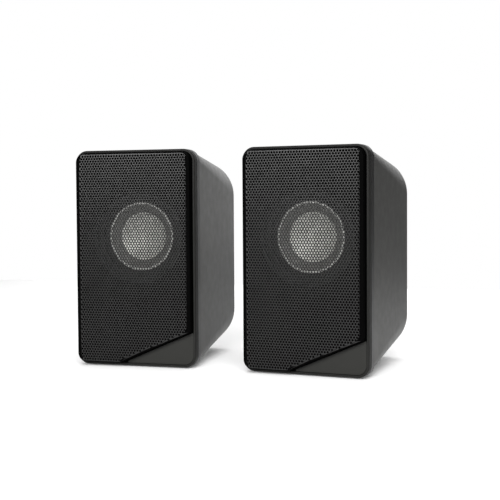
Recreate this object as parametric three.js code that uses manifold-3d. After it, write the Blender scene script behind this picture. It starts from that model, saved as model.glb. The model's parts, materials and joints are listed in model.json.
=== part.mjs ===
// A pair of small desktop speakers, side by side and turned slightly towards each other.
// Each has a tapered shell, a front baffle, a trim frame, a pressed grille, a corner plate and a
// two-inch driver. The left one is passive, and the right one holds the amplifier and its volume knob.
// Millimetres, +Z up. The pair faces -Y and stands on z = 0, centred on the origin.

import * as THREE from "three";
import { mergeVertices } from "three/addons/utils/BufferGeometryUtils.js";
import Module from "manifold-3d";

const wasm = await Module();
wasm.setup();

// ---- the pair ----
const CENTRES = 93;
const TOE_IN = THREE.MathUtils.degToRad(3.84);
const LIFT = 0.6; // the fronts' lower edges above the desk

// ---- one speaker: x right, y back from the trim's front face, z up from the front's lower edge ----
const FRONT = { w: 67, h: 113, r: 6.3, z: 56.5 };
const REAR = { w: 57.5, h: 104, r: 20, z: 56.6 };
const DEPTH = 81.5;
const GAP = 0.3; // between pieces that touch
const CORNER_STEPS = 4; // facets in a quarter of a rounded outline
const ROUND_STEPS = 16; // facets round a turned piece
const HOLE_STEPS = 6; // facets round a screw or a small hole
const BEYOND = 1; // how far a cutter runs past what it cuts

// ---- front: trim frame, grille, corner plate, baffle ----
const LIP = 1.3;
const TRIM_BACK = 3.6;
const TRIM_CHAMFER = 0.5;
const GRILLE_RAISE = 3.4;
const GRILLE_SHEET = 0.5;
const GRILLE_ROUND = 0.8;
const PLATE_RECESS = 0.5;
const DIAGONAL = { left: [-6.5, 1.8], right: [32, 18.3] }; // upper edge of the corner plate, as x and z
const BAFFLE_FRONT = TRIM_BACK + GAP;
const BAFFLE_SHEET = 2.5;
const BAFFLE_FACE = BAFFLE_FRONT + BAFFLE_SHEET; // the face that the driver sits against
const BAFFLE_BACK = 8;
const BAFFLE_RIM = 2.5;
const SPIGOT_BACK = 11;
const SPIGOT_WALL = 1.5;
const BOSS_R = 3.2;
const PILOT_R = 1.6;
const DRIVER_PILOT_FLOOR = 4.4;
const CASE_PILOT_FLOOR = 7;

// ---- rear shell ----
const SHELL_FRONT = BAFFLE_BACK + GAP;
const SHELL_INSET = 0.8;
const SHELL_WALL = 2.2;
const SHELL_ROUND = 4;
const SHELL_BACK_INSIDE = DEPTH - SHELL_WALL;
const PILLARS = [-1, 1].flatMap((sx) => [-1, 1].map((sz) => [17.5 * sx, REAR.z + 37.3 * sz]));
const PILLAR_R = 4;
const PILLAR_FRONT = 12;
const COUNTERBORE_R = 2.5;
const COUNTERBORE_FLOOR = 20;
const CASE_BORE_R = 1.7;

// ---- feet ----
const PAD_TOP = 0.4;
const PAD_STEPS = 12;
const FRONT_FOOT = { x: 22, y: 14, boss: 5.5, pad: 4.5, top: 6 };
const HEEL = { w: 22, d: 11, y: 60, r: 4, top: 9, padInset: 1 };

// ---- driver, on an axis at this height; depths are in the speaker's own y ----
const DRIVER_Z = 67.7;
const DRIVER_HOLE_R = 24;
const EAR = { offset: 19.5, r: 3.2, hole: 1.7 };
const FLANGE = { inner: 22.8, r: 25.5, front: 8.7, back: 9.7 };
const BASKET = { lip: 23.6, ledge: 17.9, bowl: 15.4, opening: 9.8, sheet: 1 };
const BASKET_DEPTHS = { step: 18.4, floor: 19.7, back: 24.9 };
const WINDOW = { w: 16, reach: 60, front: 11.2, back: 17.2 };
const TOP_PLATE = { inner: 9, outer: 17, front: 25.2, back: 28.2 };
const YOKE = { pole: 7.2, r: 17, thick: 3 };
const FORMER = { inner: 7.7, outer: 8.1, winding: 8.5, front: 16.9, back: 29 };
const MAGNET = { inner: 10.5, outer: 18, front: 28.5, back: 36.5 };
const CONE = { rim: 20.3, edge: 17.2, neck: 8.2, front: 9.3, back: 15.9, sheet: 0.7 };
const CAP = { r: 12.6, front: 12, dish: 3.8, sheet: 0.5 };
const ROLL = { r: 21.9, y: 8.2, inside: 1.35, outside: 1.85, steps: 4 };
const BEAD = { inner: 24.2, outer: 25.2 };
const SPIDER = { inner: 8.4, outer: 16.4, pitch: 1.5, front: 17.8, ripple: 0.6, sheet: 0.4 };
const STRIP = { rise: 20, w: 14, h: 7, front: 20, sheet: 1.2 };
const TAB = { x: 4, w: 2.2, sheet: 0.6, rise: 2 };

// ---- screws: their heads are behind their shanks ----
const SCREW_HEAD = 1.7;
const DRIVER_SCREW = { tip: 4.7, seat: FLANGE.back + GAP, shank: 1.3, head: 2.6 };
const CASE_SCREW = { tip: 7.4, seat: COUNTERBORE_FLOOR + GAP, shank: 1.3, head: 2 };

// ---- back panel, and the amplifier in the right speaker ----
const GLAND_Z = 28;
const GLAND_SPACING = 8;
const GLAND = { bore: 1.8, neck: 4, flange: 6, reach: 4, inside: 2 };
const KNOB = { z: 72, r: 8, front: DEPTH + 1.9, back: DEPTH + 11, hub: 2.1, notch: 0.9, travel: 300 };
const SHAFT = { r: 1.8, front: DEPTH - 6.7, back: DEPTH + 9.1 };
const BOARD = { w: 26, low: 50, high: 88, front: DEPTH - 12.6, back: DEPTH - 11 };
const CHIP = { w: 14, h: 9, z: 58, thick: 6.1 };
const POT = { side: 12, front: BOARD.back + GAP, back: SHELL_BACK_INSIDE - GAP, bush: 3.6, end: DEPTH + 1.6 };

// ---- finishes ----
const BLACK_PLASTIC = { color: 0x151515, roughness: 0.45, metalness: 0 };
const GREY_PLASTIC = { color: 0x3c3c3a, roughness: 0.55, metalness: 0 };
const PLATE_PLASTIC = { color: 0x30302e, roughness: 0.5, metalness: 0 };
const BLACK_STEEL = { color: 0x1c1c1c, roughness: 0.4, metalness: 0.6 };
const ZINC_STEEL = { color: 0xa8a8a4, roughness: 0.35, metalness: 0.9 };
const FERRITE = { color: 0x2b2b2d, roughness: 0.8, metalness: 0.1 };
const SILVER_CONE = { color: 0xb4b4b0, roughness: 0.5, metalness: 0.3 };
const SPIDER_CLOTH = { color: 0xb98a45, roughness: 0.9, metalness: 0 };
const COPPER = { color: 0xa5622c, roughness: 0.4, metalness: 0.8 };
const RUBBER = { color: 0x101010, roughness: 0.9, metalness: 0 };
const CIRCUIT_BOARD = { color: 0x1f5a35, roughness: 0.6, metalness: 0 };

// ---- solids ----

// A closed geometry as a manifold solid, with its faces turned outwards.
function solid(geometry) {
  const bare = new THREE.BufferGeometry();
  bare.setAttribute("position", geometry.getAttribute("position"));
  bare.setIndex(geometry.index);
  const merged = mergeVertices(bare, 1e-4);
  const corners = [];
  for (let i = 0; i < merged.index.count; i += 3) {
    const [a, b, c] = merged.index.array.slice(i, i + 3);
    if (a !== b && b !== c && c !== a) corners.push([a, b, c]);
  }
  const vertProperties = new Float32Array(merged.attributes.position.array);
  const build = (faces) =>
    new wasm.Manifold(
      new wasm.Mesh({ numProp: 3, vertProperties, triVerts: new Uint32Array(faces.flat()) }),
    );
  const made = build(corners);
  return made.volume() < 0 ? build(corners.map(([a, b, c]) => [a, c, b])) : made;
}

const join = (first, ...others) => others.reduce((made, other) => made.add(other), first);
const cut = (first, ...others) => others.reduce((made, other) => made.subtract(other), first);

// A named mesh from a solid.
function piece(name, shape, finish) {
  const { numProp, numVert, vertProperties, triVerts } = shape.getMesh();
  const position = new Float32Array(numVert * 3);
  for (let i = 0; i < numVert; i++) {
    position.set(vertProperties.subarray(i * numProp, i * numProp + 3), i * 3);
  }
  const geometry = new THREE.BufferGeometry();
  geometry.setAttribute("position", new THREE.BufferAttribute(position, 3));
  geometry.setIndex(new THREE.BufferAttribute(triVerts, 1));
  geometry.computeVertexNormals();
  const mesh = new THREE.Mesh(geometry, new THREE.MeshStandardMaterial(finish));
  mesh.name = name;
  return mesh;
}

// ---- outlines, seen from the front: x across, z up ----

function rounded({ w, h, r, z = 0 }, inset = 0) {
  const radius = Math.max(r - inset, 0.4);
  const x = w / 2 - inset - radius;
  const dz = h / 2 - inset - radius;
  const points = [];
  for (let quarter = 0; quarter < 4; quarter++) {
    const sx = quarter === 0 || quarter === 3 ? 1 : -1;
    const sz = quarter < 2 ? 1 : -1;
    for (let i = 0; i <= CORNER_STEPS; i++) {
      const angle = ((quarter + i / CORNER_STEPS) * Math.PI) / 2;
      points.push([sx * x + radius * Math.cos(angle), z + sz * dz + radius * Math.sin(angle)]);
    }
  }
  return points;
}

function round(x, z, r, steps = ROUND_STEPS) {
  return Array.from({ length: steps }, (_, i) => {
    const angle = (i / steps) * 2 * Math.PI;
    return [x + r * Math.cos(angle), z + r * Math.sin(angle)];
  });
}

const vectors = (points) => points.map(([x, y]) => new THREE.Vector2(x, y));

// A flat plate of that outline, between two depths.
function plate(points, front, back) {
  const shape = new THREE.Shape(vectors(points));
  const geometry = new THREE.ExtrudeGeometry(shape, { depth: back - front, bevelEnabled: false });
  geometry.rotateX(Math.PI / 2);
  geometry.translate(0, back, 0);
  return solid(geometry);
}

const ring = (outer, inner, front, back) =>
  cut(plate(outer, front, back), plate(inner, front - BEYOND, back + BEYOND));

const rod = (x, z, r, front, back, steps = HOLE_STEPS) => plate(round(x, z, r, steps), front, back);

const block = (x, z, w, h, front, back) =>
  plate(
    [
      [x - w / 2, z - h / 2],
      [x + w / 2, z - h / 2],
      [x + w / 2, z + h / 2],
      [x - w / 2, z + h / 2],
    ],
    front,
    back,
  );

// An upright prism whose outline is seen from above, between two heights.
function upright(points, low, high) {
  const shape = new THREE.Shape(vectors(points));
  const geometry = new THREE.ExtrudeGeometry(shape, { depth: high - low, bevelEnabled: false });
  geometry.translate(0, 0, low);
  return solid(geometry);
}

// A solid through outlines at several depths, closed by a flat face at each end.
function loft(sections) {
  const count = sections[0].points.length;
  const position = sections.flatMap(({ y, points }) => points.flatMap(([x, z]) => [x, y, z]));
  const index = [];
  for (let s = 0; s + 1 < sections.length; s++) {
    for (let i = 0; i < count; i++) {
      const a = s * count + i;
      const b = s * count + ((i + 1) % count);
      index.push(a, b, a + count, b, b + count, a + count);
    }
  }
  const last = (sections.length - 1) * count;
  for (let i = 1; i + 1 < count; i++) {
    index.push(0, i + 1, i);
    index.push(last, last + i, last + i + 1);
  }
  const geometry = new THREE.BufferGeometry();
  geometry.setAttribute("position", new THREE.Float32BufferAttribute(position, 3));
  geometry.setIndex(index);
  return solid(geometry);
}

// A piece turned about the line that runs back through (x, z): its profile is radius and depth.
function turned(profile, x = 0, z = DRIVER_Z, steps = ROUND_STEPS) {
  const geometry = new THREE.LatheGeometry(vectors(profile), steps);
  geometry.translate(x, 0, z);
  return solid(geometry);
}

const closed = (profile) => [...profile, profile[0]];

// ---- front ----

function trimFrame() {
  const body = loft([
    { y: 0, points: rounded(FRONT, TRIM_CHAMFER) },
    { y: TRIM_CHAMFER, points: rounded(FRONT) },
    { y: TRIM_BACK, points: rounded(FRONT) },
  ]);
  return cut(body, plate(rounded(FRONT, LIP), -BEYOND, TRIM_BACK + BEYOND));
}

// Everything under the corner plate's upper edge, which moves up by rise.
function underDiagonal(rise) {
  const [x0, z0] = DIAGONAL.left;
  const [x1, z1] = DIAGONAL.right;
  const slope = (z1 - z0) / (x1 - x0);
  const lift = rise * Math.hypot(1, slope);
  const at = (x) => [x, z0 + slope * (x - x0) + lift];
  const low = -FRONT.h;
  return plate([[-FRONT.w, low - FRONT.h], [FRONT.w, low], at(FRONT.w), at(-FRONT.w)], -20, 20);
}

function grilleBlock(inset, front, back, rounding) {
  const outline = (extra) => rounded(FRONT, LIP + GAP + inset + extra);
  const tray = loft([
    { y: front, points: outline(rounding) },
    { y: front + rounding * 0.3, points: outline(rounding * 0.3) },
    { y: front + rounding, points: outline(0) },
    { y: back, points: outline(0) },
  ]);
  return cut(tray, underDiagonal(GAP + inset));
}

function grille() {
  const outside = grilleBlock(0, -GRILLE_RAISE, TRIM_BACK, GRILLE_ROUND);
  const inside = grilleBlock(GRILLE_SHEET, GRILLE_SHEET - GRILLE_RAISE, TRIM_BACK + BEYOND, GRILLE_ROUND);
  return cut(outside, inside);
}

function cornerPlate() {
  const opening = plate(rounded(FRONT, LIP + GAP), PLATE_RECESS, TRIM_BACK);
  return opening.intersect(underDiagonal(0));
}

const ears = [-1, 1].flatMap((sx) =>
  [-1, 1].map((sz) => [sx * EAR.offset, DRIVER_Z + sz * EAR.offset]),
);

// The shell's section at a depth, between the front and rear outlines.
function shellSection(y) {
  const t = (y - SHELL_FRONT) / (DEPTH - SHELL_FRONT);
  const at = (front, rear) => front + (rear - front) * t;
  return {
    w: at(FRONT.w - 2 * SHELL_INSET, REAR.w),
    h: at(FRONT.h - 2 * SHELL_INSET, REAR.h),
    r: at(FRONT.r - SHELL_INSET, REAR.r),
    z: at(FRONT.z, REAR.z),
  };
}

const tapered = (front, back, inset) =>
  loft([front, back].map((y) => ({ y, points: rounded(shellSection(y), inset) })));

function frontBaffle() {
  const sheet = plate(rounded(FRONT), BAFFLE_FRONT, BAFFLE_FACE);
  const rim = ring(rounded(FRONT), rounded(FRONT, BAFFLE_RIM), BAFFLE_FACE - BEYOND, BAFFLE_BACK);
  const fit = SHELL_WALL + GAP;
  const spigot = cut(
    tapered(BAFFLE_FACE - BEYOND, SPIGOT_BACK, fit),
    tapered(BAFFLE_FACE - BEYOND, SPIGOT_BACK + BEYOND, fit + SPIGOT_WALL),
  );
  const bosses = PILLARS.map(([x, z]) => rod(x, z, BOSS_R, BAFFLE_FACE - BEYOND, PILLAR_FRONT - GAP));
  const pilots = [
    ...ears.map(([x, z]) => [x, z, DRIVER_PILOT_FLOOR]),
    ...PILLARS.map(([x, z]) => [x, z, CASE_PILOT_FLOOR]),
  ];
  return cut(
    join(sheet, rim, spigot, ...bosses),
    rod(0, DRIVER_Z, DRIVER_HOLE_R, 0, BAFFLE_BACK, ROUND_STEPS),
    ...pilots.map(([x, z, floor]) => rod(x, z, PILOT_R, floor, PILLAR_FRONT)),
  );
}

// ---- rear shell and its feet ----

const frontFoot = (side, r) => round(side * FRONT_FOOT.x, FRONT_FOOT.y, r, PAD_STEPS);
const heelFoot = (inset) => rounded({ w: HEEL.w, h: HEEL.d, r: HEEL.r, z: HEEL.y }, inset);

function rearShell(holes) {
  const edge = [0, 1, 2, 3].map((i) => {
    const angle = (i / 3) * (Math.PI / 2);
    const y = DEPTH - SHELL_ROUND * (1 - Math.sin(angle));
    return { y, points: rounded(shellSection(y), SHELL_ROUND * (1 - Math.cos(angle))) };
  });
  const outside = loft([{ y: SHELL_FRONT, points: rounded(shellSection(SHELL_FRONT)) }, ...edge]);
  const inside = tapered(SHELL_FRONT - BEYOND, SHELL_BACK_INSIDE, SHELL_WALL);
  const feet = [-1, 1].map((side) =>
    upright(frontFoot(side, FRONT_FOOT.boss), PAD_TOP + GAP, FRONT_FOOT.top),
  );
  const heel = upright(heelFoot(0), PAD_TOP + GAP, HEEL.top);
  const skin = cut(join(outside, ...feet, heel), inside);
  const reach = DEPTH - 1;
  const pillars = PILLARS.map(([x, z]) => rod(x, z, PILLAR_R, PILLAR_FRONT, reach));
  return cut(
    join(skin, ...pillars),
    ...PILLARS.map(([x, z]) => rod(x, z, COUNTERBORE_R, COUNTERBORE_FLOOR, DEPTH + BEYOND)),
    ...PILLARS.map(([x, z]) => rod(x, z, CASE_BORE_R, 0, DEPTH)),
    ...holes.map(([x, z, r]) =>
      rod(x, z, r, SHELL_BACK_INSIDE - BEYOND, DEPTH + BEYOND, ROUND_STEPS),
    ),
  );
}

function cableGland(x) {
  const lock = SHELL_BACK_INSIDE - GLAND.inside;
  const end = DEPTH + GLAND.reach;
  const profile = [
    [GLAND.bore, lock],
    [GLAND.flange - 1, lock],
    [GLAND.flange - 1, SHELL_BACK_INSIDE - GAP],
    [GLAND.neck, SHELL_BACK_INSIDE - GAP],
    [GLAND.neck, DEPTH + GAP],
    [GLAND.flange, DEPTH + GAP],
    [GLAND.flange - 0.5, DEPTH + 1.6],
    [GLAND.neck - 0.8, end],
    [GLAND.bore, end],
  ];
  return turned(closed(profile), x, GLAND_Z, PAD_STEPS);
}

const frontPad = (side) => upright(frontFoot(side, FRONT_FOOT.pad), -LIFT, PAD_TOP);
const heelPad = () => upright(heelFoot(HEEL.padInset), -LIFT, PAD_TOP);

// ---- driver ----

function basket() {
  const profile = [
    [FLANGE.inner, FLANGE.front],
    [FLANGE.r, FLANGE.front],
    [FLANGE.r, FLANGE.back],
    [BASKET.lip, FLANGE.back],
    [BASKET.ledge, BASKET_DEPTHS.step],
    [BASKET.ledge, BASKET_DEPTHS.floor],
    [BASKET.bowl, BASKET_DEPTHS.floor],
    [BASKET.bowl, BASKET_DEPTHS.back],
    [BASKET.opening, BASKET_DEPTHS.back],
    [BASKET.opening, BASKET_DEPTHS.back - BASKET.sheet],
    [BASKET.bowl - 1.2, BASKET_DEPTHS.back - BASKET.sheet],
    [BASKET.bowl - 1.2, BASKET_DEPTHS.step + 0.5],
    [BASKET.ledge - BASKET.sheet, BASKET_DEPTHS.step + 0.5],
    [BASKET.ledge - BASKET.sheet, BASKET_DEPTHS.step],
  ];
  const ear = (x, z) => rod(x, z, EAR.r, FLANGE.front, FLANGE.back);
  const core = rod(0, DRIVER_Z, FLANGE.inner, FLANGE.front - BEYOND, FLANGE.back + BEYOND, ROUND_STEPS);
  const windows = [
    [WINDOW.reach, WINDOW.w],
    [WINDOW.w, WINDOW.reach],
  ].map(([w, h]) => block(0, DRIVER_Z, w, h, WINDOW.front, WINDOW.back));
  return cut(
    join(turned(closed(profile)), ...ears.map(([x, z]) => cut(ear(x, z), core))),
    ...windows,
    ...ears.map(([x, z]) => rod(x, z, EAR.hole, FLANGE.front - BEYOND, FLANGE.back + BEYOND)),
  );
}

// A flat ring on the driver's axis.
const washer = ({ inner, outer, front, back }) =>
  turned(
    closed([
      [inner, front],
      [outer, front],
      [outer, back],
      [inner, back],
    ]),
  );

// The back plate, with the pole piece that stands inside the voice coil.
function yoke() {
  const front = MAGNET.back + GAP;
  const back = front + YOKE.thick;
  return turned([
    [0, TOP_PLATE.front],
    [YOKE.pole, TOP_PLATE.front],
    [YOKE.pole, front],
    [YOKE.r, front],
    [YOKE.r, back],
    [0, back],
  ]);
}

const voiceCoil = () =>
  turned(
    closed([
      [FORMER.inner, FORMER.front],
      [FORMER.outer, FORMER.front],
      [FORMER.outer, FORMER.back - 4.5],
      [FORMER.winding, FORMER.back - 4.4],
      [FORMER.winding, FORMER.back - 0.4],
      [FORMER.outer, FORMER.back - 0.3],
      [FORMER.outer, FORMER.back],
      [FORMER.inner, FORMER.back],
    ]),
  );

// Depth of the cone's front face at a radius inside its edge: steeper towards the neck.
function coneDepth(r) {
  const t = (CONE.edge - r) / (CONE.edge - CONE.neck);
  return CONE.front + 0.3 + (CONE.back - CONE.front - 0.3) * (0.8 * t + 0.2 * t * t);
}

function cone() {
  const radii = [0, 1, 2, 3].map((i) => CONE.edge + ((CONE.neck - CONE.edge) * i) / 3);
  const front = [[CONE.rim, CONE.front], [18.6, CONE.front], ...radii.map((r) => [r, coneDepth(r)])];
  const back = front.map(([r, y]) => [r, y + CONE.sheet]).reverse();
  return turned(closed([...front, ...back]));
}

// The cap is an inverted dome.
function dustCap() {
  const radii = [0, 0.4, 0.7, 1].map((t) => CAP.r * t);
  const depth = (r) => CAP.front + CAP.dish * (1 - (r / CAP.r) ** 2);
  const front = radii.map((r) => [r, depth(r)]);
  const back = radii.map((r) => [r, depth(r) + CAP.sheet]).reverse();
  return turned([...front, ...back]);
}

// A half roll between the cone's rim and a thick bead that seals against the baffle.
function surround() {
  const roll = (radius) =>
    Array.from({ length: ROLL.steps + 1 }, (_, i) => {
      const angle = (i / ROLL.steps) * Math.PI;
      return [ROLL.r + radius * Math.cos(angle), ROLL.y - radius * Math.sin(angle)];
    });
  return turned(
    closed([
      [BEAD.outer, FLANGE.front - GAP],
      [BEAD.outer, BAFFLE_FACE + GAP],
      [BEAD.inner, BAFFLE_FACE + GAP],
      ...roll(ROLL.outside),
      [18.8, CONE.front - 0.8],
      [18.8, CONE.front - GAP],
      [20.3, CONE.front - GAP],
      ...roll(ROLL.inside).reverse(),
    ]),
  );
}

// A rippled disc, from the former out to the basket's ledge.
function spider() {
  const face = [0, 1, 2, 3, 4].map((i) => [
    SPIDER.inner + i * SPIDER.pitch,
    SPIDER.front + (i % 2) * SPIDER.ripple,
  ]);
  const front = [...face, [SPIDER.outer, SPIDER.front]];
  const back = front.map(([r, y]) => [r, y + SPIDER.sheet]).reverse();
  return turned(closed([...front, ...back]));
}

function terminalStrip() {
  const z = DRIVER_Z + STRIP.rise;
  const back = STRIP.front + STRIP.sheet;
  return join(
    block(0, z, STRIP.w, STRIP.h, STRIP.front, back),
    ...[-TAB.x, TAB.x].map((x) => block(x, z + TAB.rise, TAB.w, STRIP.h, back - 0.2, back + TAB.sheet - 0.2)),
  );
}

// A pan-head screw: its head is behind its shank.
function screw(x, z, { tip, seat, shank, head }) {
  const profile = [
    [0, tip],
    [shank, tip + shank],
    [shank, seat],
    [head, seat],
    [head * 0.8, seat + SCREW_HEAD],
    [0, seat + SCREW_HEAD],
  ];
  return turned(profile, x, z, HOLE_STEPS);
}

// ---- amplifier, in the right speaker ----

function potentiometer() {
  const body = block(0, KNOB.z, POT.side, POT.side, POT.front, POT.back);
  const bush = rod(0, KNOB.z, POT.bush, POT.back - BEYOND, POT.end, ROUND_STEPS);
  const bore = rod(0, KNOB.z, KNOB.hub, SHAFT.front - GAP, POT.end + BEYOND, ROUND_STEPS);
  return cut(join(body, bush), bore);
}

const potShaft = () => rod(0, KNOB.z, SHAFT.r, SHAFT.front, SHAFT.back, PAD_STEPS);

// The notch in its face marks where the knob has been turned to. At rest it's turned right down.
function volumeKnob() {
  const profile = [
    [KNOB.hub, KNOB.front],
    [KNOB.r, KNOB.front],
    [KNOB.r - 0.6, KNOB.back - 0.8],
    [KNOB.r - 1.4, KNOB.back],
    [0, KNOB.back],
    [0, SHAFT.back + GAP],
    [KNOB.hub, SHAFT.back + GAP],
    [KNOB.hub, KNOB.front],
  ];
  const rise = KNOB.r * 0.7;
  const upright = block(0, rise, KNOB.notch, KNOB.r * 0.5, KNOB.back - 0.5, KNOB.back + BEYOND);
  const notch = upright.rotate([0, KNOB.travel / 2, 0]).translate([0, 0, KNOB.z]);
  return cut(turned(profile, 0, KNOB.z), notch);
}

function amplifier(side) {
  const boardMiddle = (BOARD.low + BOARD.high) / 2;
  return [
    piece(
      `${side}_amplifier_board`,
      block(0, boardMiddle, BOARD.w, BOARD.high - BOARD.low, BOARD.front, BOARD.back),
      CIRCUIT_BOARD,
    ),
    piece(
      `${side}_amplifier_chip`,
      block(0, CHIP.z, CHIP.w, CHIP.h, BOARD.front - GAP - CHIP.thick, BOARD.front - GAP),
      BLACK_PLASTIC,
    ),
    piece(`${side}_potentiometer`, potentiometer(), ZINC_STEEL),
    piece(`${side}_potentiometer_shaft`, potShaft(), ZINC_STEEL),
    piece(`${side}_volume_knob`, volumeKnob(), BLACK_PLASTIC),
    piece(`${side}_link_gland`, cableGland(GLAND_SPACING), RUBBER),
  ];
}

// ---- one whole speaker ----

function driver(side) {
  const pieces = [
    ["basket", basket(), BLACK_STEEL],
    ["top_plate", washer(TOP_PLATE), ZINC_STEEL],
    ["magnet", washer(MAGNET), FERRITE],
    ["yoke", yoke(), ZINC_STEEL],
    ["voice_coil", voiceCoil(), COPPER],
    ["cone", cone(), SILVER_CONE],
    ["dust_cap", dustCap(), SILVER_CONE],
    ["surround", surround(), RUBBER],
    ["spider", spider(), SPIDER_CLOTH],
    ["terminal_strip", terminalStrip(), COPPER],
  ];
  return pieces.map(([name, shape, finish]) => piece(`${side}_driver_${name}`, shape, finish));
}

function speaker(side, active) {
  const glandX = active ? -GLAND_SPACING : 0;
  const neck = GLAND.neck + GAP;
  const holes = [[glandX, GLAND_Z, neck]];
  if (active) holes.push([GLAND_SPACING, GLAND_Z, neck], [0, KNOB.z, POT.bush + GAP]);
  const group = new THREE.Group();
  group.add(
    piece(`${side}_trim_frame`, trimFrame(), BLACK_PLASTIC),
    piece(`${side}_grille`, grille(), BLACK_STEEL),
    piece(`${side}_corner_plate`, cornerPlate(), PLATE_PLASTIC),
    piece(`${side}_front_baffle`, frontBaffle(), BLACK_PLASTIC),
    piece(`${side}_rear_shell`, rearShell(holes), GREY_PLASTIC),
    piece(`${side}_cable_gland`, cableGland(glandX), RUBBER),
    piece(`${side}_front_pad_left`, frontPad(-1), RUBBER),
    piece(`${side}_front_pad_right`, frontPad(1), RUBBER),
    piece(`${side}_heel_pad`, heelPad(), RUBBER),
    ...driver(side),
    ...ears.map(([x, z], i) =>
      piece(`${side}_driver_screw_${i + 1}`, screw(x, z, DRIVER_SCREW), ZINC_STEEL),
    ),
    ...PILLARS.map(([x, z], i) =>
      piece(`${side}_case_screw_${i + 1}`, screw(x, z, CASE_SCREW), ZINC_STEEL),
    ),
    ...(active ? amplifier(side) : []),
  );
  return group;
}

// ---- the pair, centred on the origin and standing on z = 0 ----

const left = speaker("left", false);
left.position.set(-CENTRES / 2, 0, LIFT);
left.rotation.z = TOE_IN;

const right = speaker("right", true);
right.position.set(CENTRES / 2, 0, LIFT);
right.rotation.z = -TOE_IN;

const speakers = new THREE.Group();
speakers.add(left, right);
const box = new THREE.Box3().setFromObject(speakers, true);
speakers.position.y = -(box.min.y + box.max.y) / 2;

export default speakers;
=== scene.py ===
# A pair of small desktop speakers with perforated grilles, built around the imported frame.
# Shapes are written in millimetres in a speaker's own frame: x right, y back from the trim's
# front face, z up from the front's lower edge. place() puts them into the row frame, in metres.
import json
import math

import bmesh
import bpy
import numpy as np
from mathutils import Matrix, Vector
from mathutils.geometry import delaunay_2d_cdt
from mathutils.kdtree import KDTree


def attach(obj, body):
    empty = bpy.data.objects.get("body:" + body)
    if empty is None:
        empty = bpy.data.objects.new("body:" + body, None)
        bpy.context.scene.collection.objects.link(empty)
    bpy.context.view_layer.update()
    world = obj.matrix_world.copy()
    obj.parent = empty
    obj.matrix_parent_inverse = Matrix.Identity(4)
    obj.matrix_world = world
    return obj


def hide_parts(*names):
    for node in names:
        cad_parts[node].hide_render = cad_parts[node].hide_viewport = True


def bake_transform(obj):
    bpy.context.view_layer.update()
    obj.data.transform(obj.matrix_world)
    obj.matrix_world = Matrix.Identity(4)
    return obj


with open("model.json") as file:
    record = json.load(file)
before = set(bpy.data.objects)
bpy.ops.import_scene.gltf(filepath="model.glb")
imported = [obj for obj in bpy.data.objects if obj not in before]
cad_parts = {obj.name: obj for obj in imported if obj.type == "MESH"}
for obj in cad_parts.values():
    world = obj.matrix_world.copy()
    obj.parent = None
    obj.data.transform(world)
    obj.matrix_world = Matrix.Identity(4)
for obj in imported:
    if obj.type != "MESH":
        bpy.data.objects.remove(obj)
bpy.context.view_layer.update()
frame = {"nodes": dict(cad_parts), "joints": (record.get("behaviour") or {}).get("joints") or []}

MM = 0.001
TAU = 2 * math.pi

# ---- the two speakers ----


class Speaker:
    """One speaker's place in the row frame, read from its cone's joint and its trim frame."""

    def __init__(self, side):
        self.side = side
        self.cone_body = f"{side}_cone_assembly"
        self.matrix = Matrix.Identity(4)
        joint = next(j for j in frame["joints"] if j["child"] == self.cone_body)
        x, y, _ = joint["axis"]
        self.matrix = Matrix.Rotation(math.atan2(x, -y), 4, "Z")
        low, high = self.box("trim_frame")
        corner = Vector(((low.x + high.x) / 2, low.y, low.z)) * MM
        self.matrix = self.matrix @ Matrix.Translation(corner)

    def points(self, node):
        """A CAD node's vertices in this speaker's own frame, in millimetres."""
        inverse = self.matrix.inverted()
        mesh = frame["nodes"][f"{self.side}_{node}"].data
        return np.array([inverse @ v.co for v in mesh.vertices]) / MM

    def box(self, node):
        points = self.points(node)
        return Vector(points.min(0)), Vector(points.max(0))


LEFT, RIGHT = Speaker("left"), Speaker("right")
SPEAKERS = (LEFT, RIGHT)

# ---- sizes from the frame ----

TRIM_LOW, TRIM_HIGH = LEFT.box("trim_frame")
GRILLE_LOW, GRILLE_HIGH = LEFT.box("grille")
PLATE_LOW, PLATE_HIGH = LEFT.box("corner_plate")
BAFFLE_LOW, BAFFLE_HIGH = LEFT.box("front_baffle")
SHELL_LOW, SHELL_HIGH = LEFT.box("rear_shell")
PAD_LOW, PAD_HIGH = RIGHT.box("front_pad_right")
HEEL_LOW, HEEL_HIGH = LEFT.box("heel_pad")
BASKET_LOW, BASKET_HIGH = LEFT.box("driver_basket")
CAP_LOW, CAP_HIGH = LEFT.box("driver_dust_cap")
KNOB_LOW, KNOB_HIGH = RIGHT.box("volume_knob")
GLAND_LOW, GLAND_HIGH = LEFT.box("cable_gland")
LINK_LOW, LINK_HIGH = RIGHT.box("link_gland")
BOARD_LOW, BOARD_HIGH = RIGHT.box("amplifier_board")
CHIP_LOW, CHIP_HIGH = RIGHT.box("amplifier_chip")
POT_LOW, POT_HIGH = RIGHT.box("potentiometer")
SHAFT_LOW, SHAFT_HIGH = RIGHT.box("potentiometer_shaft")
STRIP_LOW, STRIP_HIGH = LEFT.box("driver_terminal_strip")

WIDTH = TRIM_HIGH.x - TRIM_LOW.x
HEIGHT = TRIM_HIGH.z - TRIM_LOW.z
DEPTH = SHELL_HIGH.y
FRONT_R = 6.3
DRIVER_Z = (CAP_LOW.z + CAP_HIGH.z) / 2
KNOB_Z = (KNOB_LOW.z + KNOB_HIGH.z) / 2
GLAND_Z = (GLAND_LOW.z + GLAND_HIGH.z) / 2
GLAND_SPACING = (LINK_LOW.x + LINK_HIGH.x) / 2

# ---- outlines, x across and z up ----


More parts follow.
